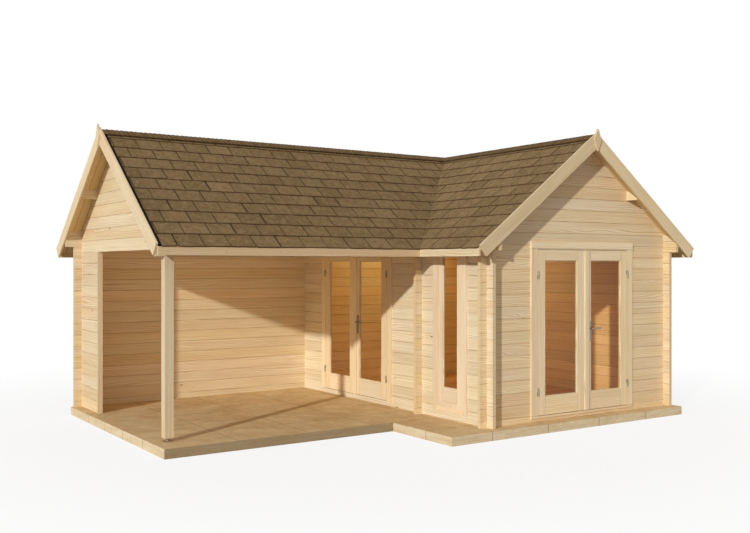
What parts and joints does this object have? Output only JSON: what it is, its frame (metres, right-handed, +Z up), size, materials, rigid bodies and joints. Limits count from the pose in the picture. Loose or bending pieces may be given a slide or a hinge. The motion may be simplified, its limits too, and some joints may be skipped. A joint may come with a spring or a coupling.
{
  "type": "log garden house with covered terrace",
  "caption": "Log-built garden house on an L-shaped base: a gabled room with glazed double doors beside an open corner terrace under a crossing shingled roof.",
  "frame": {"origin": "bottom centre of the whole house, on the underside of its base slab", "axes": "+X to the right along the terrace and the front wall seen from the front, +Y from the front doors to the back wall, +Z up"},
  "size_m": [6.798, 4.705, 3.4991],
  "materials": {
    "log_wood": "untreated planed spruce",
    "trim_wood": "untreated planed spruce boards",
    "floor_boards": "brown-stained boards",
    "shingles": "brown mineral-surfaced felt shingles on boards",
    "stone": "tan cast stone, matte",
    "glass": "clear pane",
    "steel": "satin silver"
  },
  "bodies": {
    "house": {"back_gable": "log_wood", "back_plate": "log_wood", "back_wall": "log_wood", "barge_boards_left_hand": "trim_wood", "barge_boards_right_hand": "trim_wood", "base_slab": "stone", "corner_post": "log_wood", "cross_stub": "log_wood", "finials": "trim_wood", "front_beam": "log_wood", "front_door_frame": "trim_wood", "front_frame_hinges": "steel", "front_gable": "log_wood", "front_threshold": "log_wood", "front_wall_left": "log_wood", "front_wall_right": "log_wood", "left_gable": "log_wood", "main_fascia": "trim_wood", "main_roof_back": "shingles", "main_roof_beams": "log_wood", "main_roof_front": "shingles", "post_foot": "steel", "right_wall": "log_wood", "room_floor": "floor_boards", "stub_trim": "trim_wood", "stub_wall": "log_wood", "terrace_door_frame": "trim_wood", "terrace_frame_hinges": "steel", "terrace_gable": "log_wood", "terrace_threshold": "log_wood", "terrace_wall_back": "log_wood", "terrace_wall_front": "log_wood", "terrace_wall_middle": "log_wood", "window_frame": "trim_wood", "window_glass": "glass", "window_sash": "trim_wood", "window_sill_log": "log_wood", "wing_fascia": "trim_wood", "wing_roof_beams": "log_wood", "wing_roof_left": "shingles", "wing_roof_rear": "shingles", "wing_roof_right": "shingles"},
    "front_leaf_left": {"front_leaf_left": "trim_wood", "front_leaf_left_fittings": "steel", "front_leaf_left_glass": "glass"},
    "front_leaf_right": {"front_leaf_right": "trim_wood", "front_leaf_right_fittings": "steel", "front_leaf_right_glass": "glass"},
    "terrace_leaf_left": {"terrace_leaf_left": "trim_wood", "terrace_leaf_left_fittings": "steel", "terrace_leaf_left_glass": "glass"},
    "terrace_leaf_right": {"terrace_leaf_right": "trim_wood", "terrace_leaf_right_fittings": "steel", "terrace_leaf_right_glass": "glass"}
  },
  "joints": [
    {"name": "front_left_hinge", "type": "hinge", "parent": "house", "child": "front_leaf_left", "pos_m": [0.8465, -2.1385, 1.1], "axis": [0, 0, -1], "range_deg": [0, 105]},
    {"name": "front_right_hinge", "type": "hinge", "parent": "house", "child": "front_leaf_right", "pos_m": [2.3615, -2.1385, 1.1], "axis": [0, 0, 1], "range_deg": [0, 105]},
    {"name": "terrace_left_hinge", "type": "hinge", "parent": "house", "child": "terrace_leaf_left", "pos_m": [0.068, 1.33, 1.1], "axis": [0, 0, -1], "range_deg": [0, 105]},
    {"name": "terrace_right_hinge", "type": "hinge", "parent": "house", "child": "terrace_leaf_right", "pos_m": [0.068, -0.185, 1.1], "axis": [0, 0, 1], "range_deg": [0, 105]}
  ]
}
